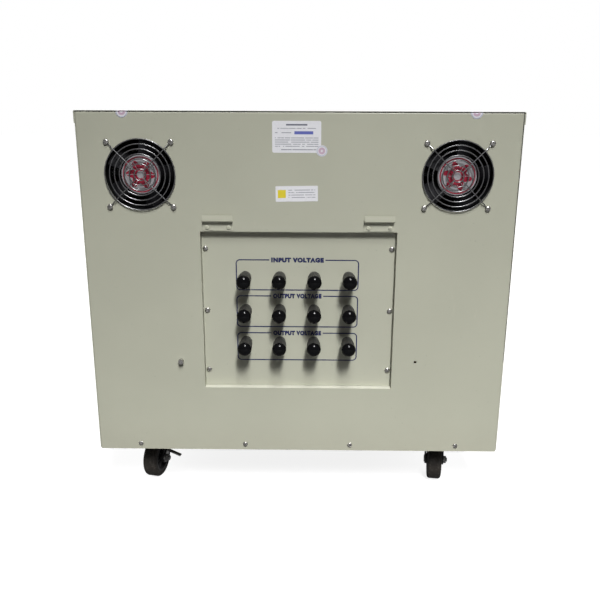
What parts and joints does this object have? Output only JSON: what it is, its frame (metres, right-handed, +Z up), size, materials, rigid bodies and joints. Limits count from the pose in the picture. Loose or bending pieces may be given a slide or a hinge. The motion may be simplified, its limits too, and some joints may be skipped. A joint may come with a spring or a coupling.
{
  "type": "power transformer",
  "caption": "Dry-type three-phase power transformer in a khaki sheet-steel cabinet on casters, with a recessed board of black screw terminals, cover hooks and wire-guarded cooling fans.",
  "frame": {"origin": "floor level under the middle of the bounding box, which takes in the terminal caps in front", "axes": "+X to the right of someone who faces the terminal side, +Y to the rear, +Z up"},
  "size_m": [0.735, 0.5186, 0.6965],
  "materials": {
    "cabinet_paint": "satin khaki grey paint",
    "plate_paint": "satin khaki grey paint",
    "black_knob": "glossy black moulding",
    "black_collar": "black moulding",
    "stud_brass": "bare brass",
    "fan_frame": "black paint",
    "fan_rotor": "black",
    "guard_wire": "bright plated wire",
    "caster_steel": "dark paint",
    "tyre_rubber": "black rubber",
    "wheel_core": "black moulding",
    "axle_steel": "dull plated steel",
    "core_steel": "varnished laminations",
    "winding_copper": "varnished copper and insulation",
    "clamp_steel": "grey paint"
  },
  "bodies": {
    "cabinet": {"base_tray": "cabinet_paint", "core": "core_steel", "core_clamps": "clamp_steel", "first_output_caps": "black_knob", "first_output_collars": "black_collar", "first_output_studs": "stud_brass", "front_left_caster_mount": "caster_steel", "front_panel": "cabinet_paint", "front_right_caster_mount": "caster_steel", "input_caps": "black_knob", "input_collars": "black_collar", "input_studs": "stud_brass", "left_cover_hook": "cabinet_paint", "left_fan_frame": "fan_frame", "left_fan_guard": "guard_wire", "left_side_panel": "cabinet_paint", "rear_left_caster_mount": "caster_steel", "rear_panel": "cabinet_paint", "rear_right_caster_mount": "caster_steel", "right_cover_hook": "cabinet_paint", "right_fan_frame": "fan_frame", "right_fan_guard": "guard_wire", "right_side_panel": "cabinet_paint", "second_output_caps": "black_knob", "second_output_collars": "black_collar", "second_output_studs": "stud_brass", "terminal_plate": "plate_paint", "top_cover": "cabinet_paint", "windings": "winding_copper"},
    "left_fan": {"left_fan_rotor": "fan_rotor"},
    "right_fan": {"right_fan_rotor": "fan_rotor"},
    "front_left_swivel": {"front_left_fork": "caster_steel", "front_left_axle": "axle_steel"},
    "front_left_roller": {"front_left_wheel": "wheel_core", "front_left_tyre": "tyre_rubber"},
    "brake_lever": {"front_left_brake_lever": "caster_steel"},
    "front_right_swivel": {"front_right_fork": "caster_steel", "front_right_axle": "axle_steel"},
    "front_right_roller": {"front_right_wheel": "wheel_core", "front_right_tyre": "tyre_rubber"},
    "rear_left_swivel": {"rear_left_fork": "caster_steel", "rear_left_axle": "axle_steel"},
    "rear_left_roller": {"rear_left_wheel": "wheel_core", "rear_left_tyre": "tyre_rubber"},
    "rear_right_swivel": {"rear_right_fork": "caster_steel", "rear_right_axle": "axle_steel"},
    "rear_right_roller": {"rear_right_wheel": "wheel_core", "rear_right_tyre": "tyre_rubber"}
  },
  "joints": [
    {"name": "left_fan_spin", "type": "hinge", "parent": "cabinet", "child": "left_fan", "pos_m": [-0.2595, -0.20645, 0.595], "axis": [0, -1, 0], "continuous": true},
    {"name": "right_fan_spin", "type": "hinge", "parent": "cabinet", "child": "right_fan", "pos_m": [0.2595, -0.20645, 0.595], "axis": [0, -1, 0], "continuous": true},
    {"name": "front_left_swivel_turn", "type": "hinge", "parent": "cabinet", "child": "front_left_swivel", "pos_m": [-0.272, -0.0997, 0.1], "axis": [0, 0, 1], "continuous": true},
    {"name": "front_left_wheel_roll", "type": "hinge", "parent": "front_left_swivel", "child": "front_left_roller", "pos_m": [-0.27965, -0.13283, 0.0375], "axis": [0.9744, -0.225, 0], "continuous": true},
    {"name": "front_left_brake_press", "type": "hinge", "parent": "front_left_swivel", "child": "brake_lever", "pos_m": [-0.27965, -0.13283, 0.0375], "axis": [0.9744, -0.225, 0], "range_deg": [-20, 0]},
    {"name": "front_right_swivel_turn", "type": "hinge", "parent": "cabinet", "child": "front_right_swivel", "pos_m": [0.272, -0.0997, 0.1], "axis": [0, 0, 1], "continuous": true},
    {"name": "front_right_wheel_roll", "type": "hinge", "parent": "front_right_swivel", "child": "front_right_roller", "pos_m": [0.26727, -0.13337, 0.0375], "axis": [0.9903, -0.1392, 0], "continuous": true},
    {"name": "rear_left_swivel_turn", "type": "hinge", "parent": "cabinet", "child": "rear_left_swivel", "pos_m": [-0.272, 0.1383, 0.1], "axis": [0, 0, 1], "continuous": true},
    {"name": "rear_left_wheel_roll", "type": "hinge", "parent": "rear_left_swivel", "child": "rear_left_roller", "pos_m": [-0.28419, 0.10656, 0.0375], "axis": [0.9336, -0.3584, 0], "continuous": true},
    {"name": "rear_right_swivel_turn", "type": "hinge", "parent": "cabinet", "child": "rear_right_swivel", "pos_m": [0.272, 0.1383, 0.1], "axis": [0, 0, 1], "continuous": true},
    {"name": "rear_right_wheel_roll", "type": "hinge", "parent": "rear_right_swivel", "child": "rear_right_roller", "pos_m": [0.26845, 0.10449, 0.0375], "axis": [0.9945, -0.1045, 0], "continuous": true}
  ]
}
